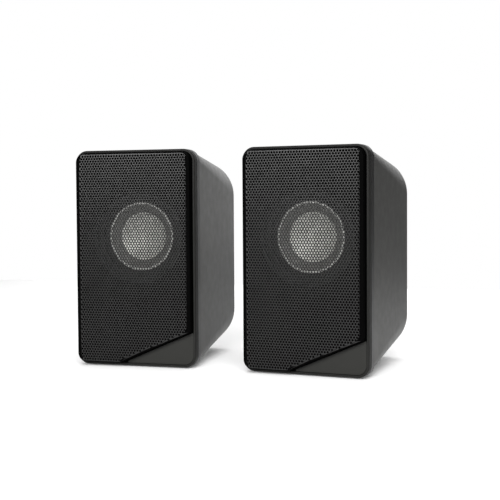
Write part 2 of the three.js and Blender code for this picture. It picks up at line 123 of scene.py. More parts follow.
def filleted(corners, inset=0.0, steps=10):
    """Points round a polygon whose corners (x, z, radius) run counter-clockwise, moved in by inset."""
    points = []
    count = len(corners)
    for i, (x, z, radius) in enumerate(corners):
        here = Vector((x, z))
        into = (here - Vector(corners[i - 1][:2])).normalized()
        out = (Vector(corners[(i + 1) % count][:2]) - here).normalized()
        n_into, n_out = Vector((-into.y, into.x)), Vector((-out.y, out.x))
        r = max(radius - inset, 0.15)
        middle = here + (n_into + n_out) * ((inset + r) / (1 + n_into.dot(n_out)))
        first = math.atan2(-n_into.y, -n_into.x)
        turn = math.acos(max(-1.0, min(1.0, n_into.dot(n_out))))
        for s in range(steps + 1):
            angle = first + turn * s / steps
            points.append(middle + r * Vector((math.cos(angle), math.sin(angle))))
    return points


def rectangle(w, h, r, x=0.0, z=0.0):
    """The corners of an upright rectangle round (x, z), for filleted()."""
    return [
        (x - w / 2, z - h / 2, r),
        (x + w / 2, z - h / 2, r),
        (x + w / 2, z + h / 2, r),
        (x - w / 2, z + h / 2, r),
    ]


def circle(r, steps=64, x=0.0, z=0.0):
    angles = [TAU * i / steps for i in range(steps)]
    return [Vector((x + r * math.cos(a), z + r * math.sin(a))) for a in angles]


def arc(x, y, r, first, last, steps=6):
    """Points of an arc in a profile, with its angles in degrees."""
    angles = [math.radians(first + (last - first) * i / steps) for i in range(steps + 1)]
    return [(x + r * math.cos(a), y + r * math.sin(a)) for a in angles]


# ---- meshes ----


def mesh_of(vertices, faces, finishes=None):
    """A clean mesh with its faces turned outwards, in metres. finishes numbers each face's material."""
    mesh = bpy.data.meshes.new("shape")
    mesh.from_pydata([tuple(c * MM for c in v) for v in vertices], [], faces)
    if finishes is not None:
        mesh.polygons.foreach_set("material_index", finishes)
    bm = bmesh.new()
    bm.from_mesh(mesh)
    bmesh.ops.remove_doubles(bm, verts=bm.verts, dist=1e-7)
    bmesh.ops.dissolve_degenerate(bm, edges=bm.edges, dist=1e-7)
    bmesh.ops.recalc_face_normals(bm, faces=bm.faces)
    bm.to_mesh(mesh)
    bm.free()
    return mesh


def skin(rings, closed=False):
    """A solid through rings of 3D points: capped at both ends, or closed from the last ring to the first."""
    count = len(rings[0])
    vertices = [tuple(p) for ring in rings for p in ring]
    spans = len(rings) if closed else len(rings) - 1
    faces = []
    for s in range(spans):
        a, b = s * count, ((s + 1) % len(rings)) * count
        for i in range(count):
            j = (i + 1) % count
            faces.append((a + i, a + j, b + j, b + i))
    if not closed:
        last = (len(rings) - 1) * count
        faces.append(tuple(range(count)))
        faces.append(tuple(range(last, last + count)))
    return mesh_of(vertices, faces)


def lofted(profile, outline, closed=False):
    """A solid whose section at each (inset, y) of the profile is outline(inset)."""
    rings = [[(p.x, y, p.y) for p in outline(inset)] for inset, y in profile]
    return skin(rings, closed)


def turned(profile, steps=96):
    """A solid turned about the y axis from a profile of (radius, y), which ends on the axis or closes."""
    on_axis = profile[0][0] == 0 and profile[-1][0] == 0
    rings = [[(p.x, y, p.y) for p in circle(max(r, 1e-5), steps)] for r, y in profile]
    return skin(rings, closed=not on_axis)


def slab(corners, front, back, bevel=0.3, steps=8):
    """A plate of a filleted outline between two depths, with rounded edges."""
    edge = arc(bevel, front + bevel, bevel, 270, 180, 3) + arc(bevel, back - bevel, bevel, 180, 90, 3)
    return lofted(edge, lambda inset: filleted(corners, inset, steps))


def block(low, high, bevel=0.2):
    """A box between two corners, with rounded edges."""
    w, h = high[0] - low[0], high[2] - low[2]
    x, z = (high[0] + low[0]) / 2, (high[2] + low[2]) / 2
    return slab(rectangle(w, h, bevel, x, z), low[1], high[1], bevel, 3)


def upright(corners, low, high, bevel=0.3, steps=8):
    """A post whose outline is seen from above, between two heights."""
    mesh = slab(corners, low, high, bevel, steps)
    mesh.transform(Matrix(((1, 0, 0, 0), (0, 0, 1, 0), (0, 1, 0, 0), (0, 0, 0, 1))))
    mesh.flip_normals()
    return mesh


def moved(mesh, x=0.0, y=0.0, z=0.0):
    copy = mesh.copy()
    copy.transform(Matrix.Translation(Vector((x, y, z)) * MM))
    return copy


def rod(x, z, r, front, back, steps=48):
    return moved(skin([[(p.x, y, p.y) for p in circle(r, steps)] for y in (front, back)]), x, 0, z)


def gathered(*meshes):
    """Separate solids as one mesh."""
    bm = bmesh.new()
    for mesh in meshes:
        bm.from_mesh(mesh)
    made = bpy.data.meshes.new("shape")
    bm.to_mesh(made)
    bm.free()
    return made


def combined(mesh, others, operation):
    """mesh with each of the other solids joined to it (UNION) or taken out of it (DIFFERENCE)."""
    for other in others:
        base = bpy.data.objects.new("base", mesh)
        tool = bpy.data.objects.new("tool", other)
        for o in (base, tool):
            bpy.context.scene.collection.objects.link(o)
        modifier = base.modifiers.new("boolean", "BOOLEAN")
        modifier.operation = operation
        modifier.solver = "EXACT"
        modifier.object = tool
        graph = bpy.context.evaluated_depsgraph_get()
        mesh = bpy.data.meshes.new_from_object(base.evaluated_get(graph))
        for o in (base, tool):
            bpy.data.objects.remove(o)
    bm = bmesh.new()
    bm.from_mesh(mesh)
    bmesh.ops.remove_doubles(bm, verts=bm.verts, dist=1e-7)
    bmesh.ops.dissolve_degenerate(bm, edges=bm.edges, dist=1e-7)
    bm.to_mesh(mesh)
    bm.free()
    return mesh


def joined(mesh, *others):
    return combined(mesh, others, "UNION")


def carved(mesh, *others):
    return combined(mesh, others, "DIFFERENCE")


# ---- materials ----


class Finish:
    """A Principled material whose colour, roughness and relief come from procedural noise."""

    def __init__(self, name, colour, roughness, metallic=0.0, specular=0.5, ior=1.45):
        self.material = bpy.data.materials.new(name)
        self.material.use_nodes = True
        self.tree = self.material.node_tree
        self.shader = self.tree.nodes["Principled BSDF"]
        self.shader.inputs["Metallic"].default_value = metallic
        self.shader.inputs["Specular IOR Level"].default_value = specular
        self.shader.inputs["IOR"].default_value = ior
        self.colour, self.roughness = colour, roughness
        self.bump = None

    def node(self, kind, inputs=None, **settings):
        made = self.tree.nodes.new(kind)
        for name, value in settings.items():
            setattr(made, name, value)
        for name, value in (inputs or {}).items():
            if isinstance(value, bpy.types.NodeSocket):
                self.tree.links.new(value, made.inputs[name])
            else:
                made.inputs[name].default_value = value
        return made

    def place(self):
        """The point on the surface in the piece's own metres."""
        return self.node("ShaderNodeTexCoord").outputs["Object"]

    def noise(self, size_mm, detail=3.0, stretch=None):
        """Noise whose lumps are about that size."""
        vector = self.place()
        if stretch:
            vector = self.node("ShaderNodeMapping", {"Vector": vector, "Scale": stretch}).outputs[0]
        inputs = {"Vector": vector, "Scale": 1 / (size_mm * MM), "Detail": detail}
        return self.node("ShaderNodeTexNoise", inputs).outputs["Fac"]

    def rings(self, pitch_mm):
        """A wave that runs out from the piece's y axis."""
        flat = self.node("ShaderNodeMapping", {"Vector": self.place(), "Scale": (1, 0, 1)}).outputs[0]
        radius = self.node("ShaderNodeVectorMath", {0: flat}, operation="LENGTH").outputs["Value"]
        turns = self.node("ShaderNodeMath", {0: radius, 1: TAU / (pitch_mm * MM)}, operation="MULTIPLY")
        return self.node("ShaderNodeMath", {0: turns.outputs[0]}, operation="SINE").outputs[0]

    def span(self, value, low, high, to_low, to_high):
        inputs = {"Value": value, "From Min": low, "From Max": high, "To Min": to_low, "To Max": to_high}
        return self.node("ShaderNodeMapRange", inputs).outputs["Result"]

    def tint(self, size_mm=9.0, amount=0.12, stretch=None):
        """Colour that drifts round the finish's own by that share."""
        ramp = self.node("ShaderNodeValToRGB", {"Fac": self.noise(size_mm, 4.0, stretch)})
        for element, side in zip(ramp.color_ramp.elements, (-1, 1)):
            element.position = 0.5 + side * 0.2
            element.color = (*(min(1.0, c * (1 + side * amount)) for c in self.colour), 1)
        self.tree.links.new(ramp.outputs["Color"], self.shader.inputs["Base Color"])
        return self

    def gloss(self, size_mm=3.0, amount=0.08, stretch=None):
        """Roughness that drifts by that much."""
        low, high = self.roughness - amount, self.roughness + amount
        value = self.span(self.noise(size_mm, 4.0, stretch), 0.3, 0.7, max(low, 0.05), min(high, 1.0))
        self.tree.links.new(value, self.shader.inputs["Roughness"])
        return self

    def relief(self, value, depth_mm):
        """Bump of that depth, added to any already there."""
        inputs = {"Height": value, "Distance": depth_mm * MM, "Strength": 1.0}
        if self.bump is not None:
            inputs["Normal"] = self.bump
        self.bump = self.node("ShaderNodeBump", inputs).outputs["Normal"]
        self.tree.links.new(self.bump, self.shader.inputs["Normal"])
        return self


def moulded(name, colour, roughness, grain_mm=0.35, depth_mm=0.012, **settings):
    """Moulded plastic with a spark-eroded grain."""
    finish = Finish(name, colour, roughness, **settings).tint(14.0, 0.05).gloss(5.0, 0.03)
    finish.relief(finish.noise(grain_mm, 5.0), depth_mm)
    return finish.material


def coated(name, colour, roughness, **settings):
    """Powder coat on steel, with its orange-peel skin."""
    finish = Finish(name, colour, roughness, **settings).tint(20.0, 0.12).gloss(8.0, 0.05)
    finish.relief(finish.noise(0.5, 2.0), 0.01)
    return finish.material


def plated(name, colour, roughness, **settings):
    """Plated metal with fine turning marks round its axis."""
    finish = Finish(name, colour, roughness, metallic=1.0, **settings).tint(2.5, 0.10).gloss(1.2, 0.08)
    finish.relief(finish.rings(0.12), 0.001).relief(finish.noise(0.6, 3.0), 0.004)
    return finish.material


def rubbery(name, colour, roughness=0.75):
    finish = Finish(name, colour, roughness, specular=0.35).tint(4.0, 0.15).gloss(1.5, 0.08)
    finish.relief(finish.noise(0.18, 4.0), 0.008)
    return finish.material


def pressed_paper(name, colour, roughness, **settings):
    """Coated paper: faint pressed rings and fibres."""
    finish = Finish(name, colour, roughness, **settings).tint(1.6, 0.08).gloss(1.2, 0.06)
    finish.relief(finish.noise(0.5, 3.0), 0.004).relief(finish.rings(1.1), 0.003)
    return finish.material


def woven(name, colour, thread_mm=0.5):
    """Resin-stiffened cloth: two crossed waves of thread."""
    finish = Finish(name, colour, 0.85, specular=0.2).tint(2.0, 0.2).gloss(1.0, 0.05)
    split = finish.node("ShaderNodeSeparateXYZ", {"Vector": finish.place()})
    waves = []
    for axis in ("X", "Z"):
        turn = {0: split.outputs[axis], 1: TAU / (thread_mm * MM)}
        phase = finish.node("ShaderNodeMath", turn, operation="MULTIPLY").outputs[0]
        waves.append(finish.node("ShaderNodeMath", {0: phase}, operation="SINE").outputs[0])
    both = finish.node("ShaderNodeMath", {0: waves[0], 1: waves[1]}, operation="MULTIPLY").outputs[0]
    finish.relief(both, 0.05)
    return finish.material


def wound(name, colour):
    """Enamelled copper wire, wound side by side along y."""
    finish = Finish(name, colour, 0.3, metallic=1.0).tint(1.5, 0.15).gloss(0.6, 0.08)
    split = finish.node("ShaderNodeSeparateXYZ", {"Vector": finish.place()})
    turn = {0: split.outputs["Y"], 1: TAU / (0.2 * MM)}
    phase = finish.node("ShaderNodeMath", turn, operation="MULTIPLY").outputs[0]
    finish.relief(finish.node("ShaderNodeMath", {0: phase}, operation="SINE").outputs[0], 0.04)
    return finish.material


TRIM_PLASTIC = moulded("trim_plastic", (0.009, 0.009, 0.0083), 0.55, depth_mm=0.004, specular=0.15)
BLACK_PLASTIC = moulded("black_plastic", (0.005, 0.005, 0.005), 0.40, depth_mm=0.004)
# A matt, barely reflective copy of the black plastic: painted shade for the baffle's face behind the grille.
MATT_BLACK_PAINTED_SHADE = moulded("matt_black_painted_shade", (0.003, 0.003, 0.003), 0.8, specular=0.06)
SHELL_PLASTIC = moulded("shell_plastic", (0.020, 0.020, 0.018), 0.45, specular=0.42)
PLATE_PLASTIC = moulded("corner_plate_plastic", (0.0110, 0.0110, 0.0096), 0.45, depth_mm=0.005, specular=0.22)
KNOB_PLASTIC = moulded("knob_plastic", (0.016, 0.016, 0.016), 0.45)
CHIP_PLASTIC = moulded("chip_plastic", (0.020, 0.020, 0.021), 0.55, grain_mm=0.15)
# One powder coat in two copies. The lighter, glossier field copy is a painted highlight for light caught on
# the hole edges. The near-black, barely reflective rim copy is painted shade on the rim, the skirt and the
# back of the sheet.
MESH_COAT_LIT_COPY = coated("mesh_coat_lit_copy", (0.0040, 0.0040, 0.0037), 0.34, specular=0.42)
RIM_COAT_PAINTED_SHADE = coated("rim_coat_painted_shade", (0.0006, 0.0006, 0.0006), 0.6, specular=0.015)
BASKET_COAT = coated("basket_coat", (0.025, 0.025, 0.025), 0.38)
ZINC = plated("zinc_plate", (0.58, 0.58, 0.56), 0.32)
SOLDER = plated("tinned_metal", (0.62, 0.62, 0.60), 0.28)
FERRITE = moulded("ferrite", (0.035, 0.035, 0.038), 0.75, grain_mm=0.12, depth_mm=0.02)
GLAND_RUBBER = rubbery("gland_rubber", (0.012, 0.012, 0.012))
PAD_RUBBER = rubbery("pad_rubber", (0.020, 0.020, 0.020), 0.85)
SURROUND_RUBBER = rubbery("surround_rubber", (0.006, 0.006, 0.006), 0.7)
SILVER_CAP = pressed_paper("silver_cap", (0.58, 0.58, 0.545), 0.45, metallic=0.2)
# The cone's ring and wall are copies of the cap's silvered paper. The ring is lighter than the wall, a
# painted highlight. The wall is darker, painted shade.
RING_PAPER_PAINTED_HIGHLIGHT = pressed_paper("ring_paper_painted_highlight", (0.42, 0.42, 0.40), 0.45)
CONE_PAPER_PAINTED_SHADE = pressed_paper("cone_paper_painted_shade", (0.15, 0.15, 0.142), 0.5)
SPIDER_CLOTH = woven("spider_cloth", (0.42, 0.23, 0.07))
COIL_COPPER = wound("coil_copper", (0.75, 0.32, 0.14))
TERMINAL_FIBRE = moulded("terminal_fibre", (0.16, 0.09, 0.05), 0.7, grain_mm=0.3)
CIRCUIT_GREEN = moulded("circuit_lacquer", (0.015, 0.09, 0.035), 0.3, grain_mm=1.5, depth_mm=0.02)
CAN_SLEEVE = moulded("capacitor_sleeve", (0.01, 0.02, 0.05), 0.35, grain_mm=0.6, depth_mm=0.004)

# ---- placing pieces ----


def place(speaker, name, mesh, finish, slot, replaces=(), body="housings", at=(0.0, 0.0), sharp=35):
    """A piece of a speaker that rides on a body and stands for CAD nodes. at is its own axis's x and z."""
    data = mesh.copy()
    data.name = f"{speaker.side}_{name}"
    data.shade_smooth()
    data.set_sharp_from_angle(angle=math.radians(sharp))
    for material in finish if isinstance(finish, tuple) else (finish,):
        data.materials.append(material)
    piece = bpy.data.objects.new(f"{speaker.side}_{name}_shaped", data)
    bpy.context.scene.collection.objects.link(piece)
    piece.matrix_world = speaker.matrix @ Matrix.Translation(Vector((at[0], 0, at[1])) * MM)
    if replaces:
        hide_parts(*(f"{speaker.side}_{node}" for node in replaces))
    if body:
        normals = piece.modifiers.new("even_normals", "WEIGHTED_NORMAL")
        normals.keep_sharp = True
        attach(piece, body)
    return piece


# ---- front ----

LIP = 1.3
GRILLE_GAP = GRILLE_LOW.x - TRIM_LOW.x
SEAM = GRILLE_GAP - LIP
FRONT = rectangle(WIDTH, HEIGHT, FRONT_R, 0, HEIGHT / 2)


def front_outline(inset):
    return filleted(FRONT, inset, 14)


def trim_frame():
    outer, inner, chamfer = 0.9, 0.25, 0.2
    back = TRIM_HIGH.y
    profile = [
        (LIP, inner),
        (LIP - inner, 0),
        *arc(outer, outer, outer, 270, 180),
        (0, back - chamfer),
        (chamfer, back),
        (LIP, back),
    ]
    return lofted(profile, front_outline, closed=True)


def diagonal(rise):
    """Where the corner plate's upper edge, moved up by rise, meets the opening's bottom and right side."""
    low, high = PLATE_LOW, PLATE_HIGH
    slope = (high.z - low.z) / (high.x - low.x)
    lift = rise * math.hypot(1, slope)
    return low.x - lift / slope, high.z + lift


def grille_corners():
    x, z = diagonal(SEAM)
    r, cut_r = FRONT_R - GRILLE_GAP, 2.0
    return [
        (GRILLE_LOW.x, GRILLE_LOW.z, r),
        (x, GRILLE_LOW.z, cut_r),
        (GRILLE_HIGH.x, z, cut_r),
        (GRILLE_HIGH.x, GRILLE_HIGH.z, r),
        (GRILLE_LOW.x, GRILLE_HIGH.z, r),
    ]


GRILLE_SHEET = 0.5
GRILLE_ROUND = 0.65
PITCH = 1.5
HOLE_R = 0.575
HOLE_EDGE = 0.09
HOLE_SIDES = 9
END_MARGIN, SIDE_MARGIN = 0.15, 0.95


def hole_centres(outline):
    """A hexagonal lattice in horizontal rows, kept where a hole clears the outline by its edge's margin."""
    edges = [(np.array(a), np.array(b)) for a, b in zip(outline, outline[1:] + outline[:1])]
    row_pitch = PITCH * math.sqrt(3) / 2
    middle_x = (GRILLE_LOW.x + GRILLE_HIGH.x) / 2
    middle_z = (GRILLE_LOW.z + GRILLE_HIGH.z) / 2
    rows = int((GRILLE_HIGH.z - GRILLE_LOW.z) / 2 / row_pitch) + 1
    columns = int((GRILLE_HIGH.x - GRILLE_LOW.x) / 2 / PITCH) + 1
    lattice = np.array(
        [
            (middle_x + PITCH * (c + (r % 2) / 2), middle_z + row_pitch * r)
            for r in range(-rows, rows + 1)
            for c in range(-columns - 1, columns + 1)
        ]
    )
    nearest = np.full(len(lattice), 1e9)
    for a, b in edges:
        along = (b - a) / np.linalg.norm(b - a)
        inwards = np.array((-along[1], along[0]))
        margin = END_MARGIN + (SIDE_MARGIN - END_MARGIN) * inwards[0] ** 2
        nearest = np.minimum(nearest, (lattice - a) @ inwards - margin)
    return lattice[nearest > HOLE_R]


def grille():
    """A pressed tray: its face is perforated, its edge is rounded and its skirt runs back to the baffle."""
    corners = grille_corners()
    front, back = GRILLE_LOW.y, GRILLE_HIGH.y
    sheet_back = front + GRILLE_SHEET
    outline = [tuple(p) for p in filleted(corners, GRILLE_ROUND, 10)]
    centres = hole_centres(outline)
    rim = len(outline)
    tree = KDTree(len(centres))
    for k, c in enumerate(centres):
        tree.insert((c[0], c[1], 0), k)
    tree.balance()
    vertices, faces, finishes = [], [], []
    loops = [rim + k * HOLE_SIDES for k in range(len(centres))]

    def face_sheet(radius, depth, turned_back):
        """One face of the sheet, with holes of that radius, and where its vertices start."""
        hole = [Vector((p.x, p.y)) for p in circle(radius, HOLE_SIDES)]
        flat = [Vector(p) for p in outline] + [Vector(c) + p for c in centres for p in hole]
        edges = [(i, (i + 1) % rim) for i in range(rim)]
        edges += [(s + i, s + (i + 1) % HOLE_SIDES) for s in loops for i in range(HOLE_SIDES)]
        points, _, cells, *_ = delaunay_2d_cdt(flat, edges, [], 2, 1e-6)
        points, cells = np.array(points), np.array(cells)
        start = len(vertices)
        vertices.extend((x, depth, z) for x, z in points)
        for cell, (x, z) in zip(cells, points[cells].mean(1)):
            away = tree.find((x, z, 0))[2]
            if away > radius:
                faces.append(tuple(start + i for i in (cell[::-1] if turned_back else cell)))
                # Front faces near a hole take the lit copy (1), a painted highlight. The plain rim and the
                # back take the dark copy (0), painted shade.
                finishes.append(1 if away < PITCH * 0.7 and not turned_back else 0)
        return start

    near = face_sheet(HOLE_R + HOLE_EDGE, front, False)
    far = face_sheet(HOLE_R, sheet_back, True)
    bevel = [Vector((p.x, p.y)) for p in circle(HOLE_R, HOLE_SIDES)]
    middle = len(vertices)
    vertices.extend((c[0] + p.x, front + HOLE_EDGE, c[1] + p.y) for c in centres for p in bevel)
    for s in loops:
        for i in range(HOLE_SIDES):
            j = (i + 1) % HOLE_SIDES
            between = middle + s - rim
            faces.append((near + s + i, near + s + j, between + j, between + i))
            faces.append((between + i, between + j, far + s + j, far + s + i))
            # Each hole's bevel takes the lit copy, a painted highlight. Its wall takes the dark copy, painted
            # shade.
            finishes += [1, 0]
    inside = GRILLE_ROUND - GRILLE_SHEET
    profile = [
        *arc(GRILLE_ROUND, front + GRILLE_ROUND, GRILLE_ROUND, 270, 180, 5)[1:],
        (0, back),
        (GRILLE_SHEET, back),
        *arc(GRILLE_ROUND, front + GRILLE_ROUND, inside, 180, 270, 4)[:-1],
    ]
    starts = [near]
    for inset, y in profile:
        starts.append(len(vertices))
        vertices += [(p.x, y, p.y) for p in filleted(corners, inset, 10)]
    starts.append(far)
    for a, b in zip(starts, starts[1:]):
        for i in range(rim):
            j = (i + 1) % rim
            faces.append((a + i, a + j, b + j, b + i))
            # The rolled edge and the skirt take the dark copy: painted shade.
            finishes.append(0)
    return mesh_of(vertices, faces, finishes)


def corner_plate():
    """A three-cornered plate that fits its opening closely."""
    snug, point_r, bevel = 0.18, 0.6, 0.15
    right, low = PLATE_HIGH.x + snug, PLATE_LOW.z - snug
    corners = [
        (PLATE_LOW.x - snug, low, point_r),
        (right, low, FRONT_R - GRILLE_GAP + snug),
        (right, PLATE_HIGH.z + snug / 2, point_r),
    ]
    return slab(corners, PLATE_LOW.y, PLATE_HIGH.y, bevel, 10)


# ---- baffle and shell ----

BAFFLE_FACE = 6.4
BAFFLE_BACK = 8.0
BOSS_R = 3.2
PILOT_R = 1.6
PILLAR_R = 4
PILLAR_FRONT = 12
SCREW_HOLE_R = 1.7
HEAD_BORE_R = 2.5
HEAD_BORE_FRONT = 20
SHELL_INSET = 0.8
SHELL_WALL = 2.2
SHELL_ROUND = 4.0
REAR_R = 20.0
DRIVER_HOLE_R = 24.0
PILLARS = [
    ((low.x + high.x) / 2, (low.z + high.z) / 2)
    for low, high in (LEFT.box(f"case_screw_{i}") for i in (1, 2, 3, 4))
]
EARS = [
    ((low.x + high.x) / 2, (low.z + high.z) / 2)
    for low, high in (LEFT.box(f"driver_screw_{i}") for i in (1, 2, 3, 4))
]
SHELL_POINTS = LEFT.points("rear_shell")
REAR = SHELL_POINTS[SHELL_POINTS[:, 1] > DEPTH - 0.05]
REAR_W = REAR[:, 0].max() - REAR[:, 0].min() + 2 * SHELL_ROUND
REAR_H = REAR[:, 2].max() - REAR[:, 2].min() + 2 * SHELL_ROUND
REAR_Z = (REAR[:, 2].max() + REAR[:, 2].min()) / 2


def shell_corners(y):
    """The shell's outline at a depth, between its front and rear outlines."""
    t = (y - SHELL_LOW.y) / (DEPTH - SHELL_LOW.y)
    front = (WIDTH - 2 * SHELL_INSET, HEIGHT - 2 * SHELL_INSET, FRONT_R - SHELL_INSET, HEIGHT / 2)
    w, h, r, z = (a + (b - a) * t for a, b in zip(front, (REAR_W, REAR_H, REAR_R, REAR_Z)))
    return rectangle(w, h, r, 0, z)


def tapered(profile, closed=False, steps=14):
    """A solid whose section at each (inset, y) follows the shell's taper."""
    rings = [[(p.x, y, p.y) for p in filleted(shell_corners(y), i, steps)] for i, y in profile]
    return skin(rings, closed)


def front_baffle():
    """The front wall: a spigot and four bosses behind it, and the driver's flared opening."""
    front, edge = BAFFLE_LOW.y, 0.25
    body = lofted(
        [(edge, front), (0, front + edge), (0, BAFFLE_BACK - edge), (edge, BAFFLE_BACK)], front_outline
    )
    rim = 2.5
    recess = lofted([(rim, BAFFLE_FACE), (rim, BAFFLE_BACK + 1)], front_outline)
    root, end = BAFFLE_FACE - 0.5, 11
    fit, lead_in, wall = SHELL_WALL + 0.3, 0.3, 1.5
    spigot = tapered(
        [(fit, root), (fit, end - lead_in), (fit + lead_in, end), (fit + wall, end), (fit + wall, root)],
        closed=True,
    )
    bosses = [rod(x, z, BOSS_R, root, BAFFLE_HIGH.y) for x, z in PILLARS]
    flare = 0.8
    opening = turned(
        [
            (0, front - 1),
            (DRIVER_HOLE_R + flare + 1, front - 1),
            (DRIVER_HOLE_R, front + flare),
            (DRIVER_HOLE_R, BAFFLE_BACK),
            (0, BAFFLE_BACK),
        ]
    )
    beyond = 14
    pilots = [rod(x, z, PILOT_R, 4.4, beyond, 16) for x, z in EARS]
    pilots += [rod(x, z, PILOT_R, 7, beyond, 16) for x, z in PILLARS]
    body = joined(carved(body, recess), spigot, *bosses)
    body = carved(body, moved(opening, 0, 0, DRIVER_Z), *pilots)
    # Forward faces, seen only through the grille's holes, take the matt black copy: painted shade behind the
    # grille. The rest takes the satin black.
    for face in body.polygons:
        face.material_index = 1 if face.normal.y < -0.9 else 0
    return body


def rear_shell(holes):
    """The tapered box with its screw pillars and feet. Each hole is (x, z, radius) in its back."""
    front = SHELL_LOW.y
    round_edge = [
        (SHELL_ROUND * (1 - math.cos(a)), DEPTH - SHELL_ROUND * (1 - math.sin(a)))
        for a in (math.radians(90 * i / 9) for i in range(10))
    ]
    chamfer = 0.3
    outside = tapered([(chamfer, front), (0, front + chamfer), *round_edge])
    inside = tapered([(SHELL_WALL, front - 1), (SHELL_WALL, DEPTH - SHELL_WALL)])
    boss_low, boss_top, heel_top = SHELL_LOW.z, 6.0, 9
    foot_x, foot_y = (PAD_LOW.x + PAD_HIGH.x) / 2, (PAD_LOW.y + PAD_HIGH.y) / 2
    foot_r = (PAD_HIGH.x - PAD_LOW.x) / 2 + 1
    feet = [
        upright(rectangle(2 * foot_r, 2 * foot_r, foot_r, side * foot_x, foot_y), boss_low, boss_top, 0.4, 12)
        for side in (-1, 1)
    ]
    w, d = HEEL_HIGH.x - HEEL_LOW.x + 2, HEEL_HIGH.y - HEEL_LOW.y + 2
    heel = upright(rectangle(w, d, 4, 0, (HEEL_LOW.y + HEEL_HIGH.y) / 2), boss_low, heel_top, 0.5, 8)
    body = carved(joined(outside, *feet, heel), inside)
    pillars = [rod(x, z, PILLAR_R, PILLAR_FRONT, DEPTH - 1) for x, z in PILLARS]
    body = joined(body, *pillars)
    bores = [rod(x, z, HEAD_BORE_R, HEAD_BORE_FRONT, DEPTH + 1) for x, z in PILLARS]
    bores += [rod(x, z, SCREW_HOLE_R, 0, DEPTH, 24) for x, z in PILLARS]
    bores += [rod(x, z, r, DEPTH - SHELL_WALL - 1, DEPTH + 1) for x, z, r in holes]
    return carved(body, *bores)


# ---- feet, glands and fasteners ----


def front_pad():
    r = (PAD_HIGH.x - PAD_LOW.x) / 2
    return upright(rectangle(2 * r, 2 * r, r), PAD_LOW.z, PAD_HIGH.z, 0.35, 16)


def heel_pad():
    corners = rectangle(HEEL_HIGH.x - HEEL_LOW.x, HEEL_HIGH.y - HEEL_LOW.y, 3)
    return upright(corners, HEEL_LOW.z, HEEL_HIGH.z, 0.35, 10)


def cable_gland():
    """A flanged grommet with stepped ribs that narrow to its mouth."""
    bore, neck, flange = 1.8, 4.0, 6.0
    inside, outside, end = DEPTH - SHELL_WALL, DEPTH + 0.3, GLAND_HIGH.y
    profile = [
        (bore, inside - 2),
        (flange - 1.2, inside - 2),
        (flange - 1, inside - 1.8),
        (flange - 1, inside - 0.3),
        (neck, inside - 0.3),
        (neck, outside),
        (flange, outside),
        *arc(flange - 0.5, outside + 0.7, 0.5, 0, 90, 4),
        (neck + 0.3, outside + 1.2),
        (neck + 0.1, outside + 1.9),
        (neck - 0.4, outside + 1.9),
        (neck - 0.4, outside + 2.4),
        (neck - 0.2, outside + 2.4),
        (neck - 0.4, outside + 3.0),
        (neck - 0.9, outside + 3.0),
        (neck - 0.9, end),
        (bore + 0.3, end),
        (bore, end - 0.3),
    ]
    return turned(profile, 64)


def screw(tip, seat, shank, head):
    """A pan-head screw with a cross recess, its head behind its shank."""
    rise = 1.7
    threads = []
    depth = tip + shank
    while depth < seat - 0.6:
        threads += [(shank * 0.78, depth), (shank, depth + 0.3), (shank * 0.78, depth + 0.6)]
        depth += 0.65
    profile = [
        (0, tip),
        *threads,
        (shank * 0.8, seat),
        (head, seat),
        (head, seat + 0.5),
        *((head * x, seat + 0.5 + (rise - 0.5) * y) for x, y in ((0.94, 0.4), (0.78, 0.75), (0.5, 0.93))),
        (0, seat + rise),
    ]
    body = turned(profile, 32)
    slot_w, reach, depth = head * 0.24, head * 0.62, 0.9
    y = seat + rise - depth
    arms = [block((-w, y, -h), (w, y + 2, h), 0.05) for w, h in ((slot_w, reach), (reach, slot_w))]
    return carved(body, *arms)


# ---- driver, on its own axis ----


def basket():
    """A pressed frame: a rim with four ears, four windows, a ledge for the spider and a bowl behind it."""
    low, high, sheet = BASKET_LOW.y, BASKET_HIGH.y, 1
    rim, mouth, ledge, bowl, throat = 25.5, 22.8, 17.9, 15.4, 9.8
    step = 18.9
    profile = [
        (mouth, low),
        (rim, low),
        (rim, low + sheet),
        (mouth + 0.8, low + sheet),
        (ledge, step - 0.5),
        (ledge, step + 0.8),
        (bowl, step + 0.8),
        (bowl, high),
        (throat, high),
        (throat, high - sheet),
        (bowl - 1.2, high - sheet),
        (bowl - 1.2, step),
        (ledge - sheet, step),
        (ledge - sheet, step - 0.7),
    ]
    body = turned(profile)
    core = rod(0, 0, mouth + 0.4, low - 1, low + 2, 96)
    ear_r = 3.2
    for x, z in EARS:
        ear = carved(rod(x, z - DRIVER_Z, ear_r, low, low + sheet, 32), core)
        body = joined(body, ear)
    span, width = 30, 8
    windows = [
        block((-w, 11.2, -h), (w, 17.2, h), 1.2) for w, h in ((span, width), (width, span))
    ]
    holes = [rod(x, z - DRIVER_Z, SCREW_HOLE_R, low - 1, low + 2, 24) for x, z in EARS]
    return carved(body, *windows, *holes)


def washer(inner, outer, front, back, bevel=0.25):
    return turned(
        [
            (inner, front + bevel),
            (inner + bevel, front),
            (outer - bevel, front),
            (outer, front + bevel),
            (outer, back - bevel),
            (outer - bevel, back),
            (inner + bevel, back),
            (inner, back - bevel),
        ]
    )


def yoke():
    """The back plate and the pole piece in one forging."""
    tip, plate_front, plate_back = 25.2, 36.8, 39.8
    pole, plate, edge, fillet = 7.2, 17, 0.4, 0.5
    return turned(
        [
            (0, tip),
            (pole - fillet, tip),
            (pole, tip + fillet),
            (pole, plate_front - fillet),
            *arc(pole + fillet, plate_front - fillet, fillet, 180, 90, 3),
            (plate - edge, plate_front),
            (plate, plate_front + edge),
            (plate, plate_back - edge),
            (plate - edge, plate_back),
            (0, plate_back),
        ]
    )


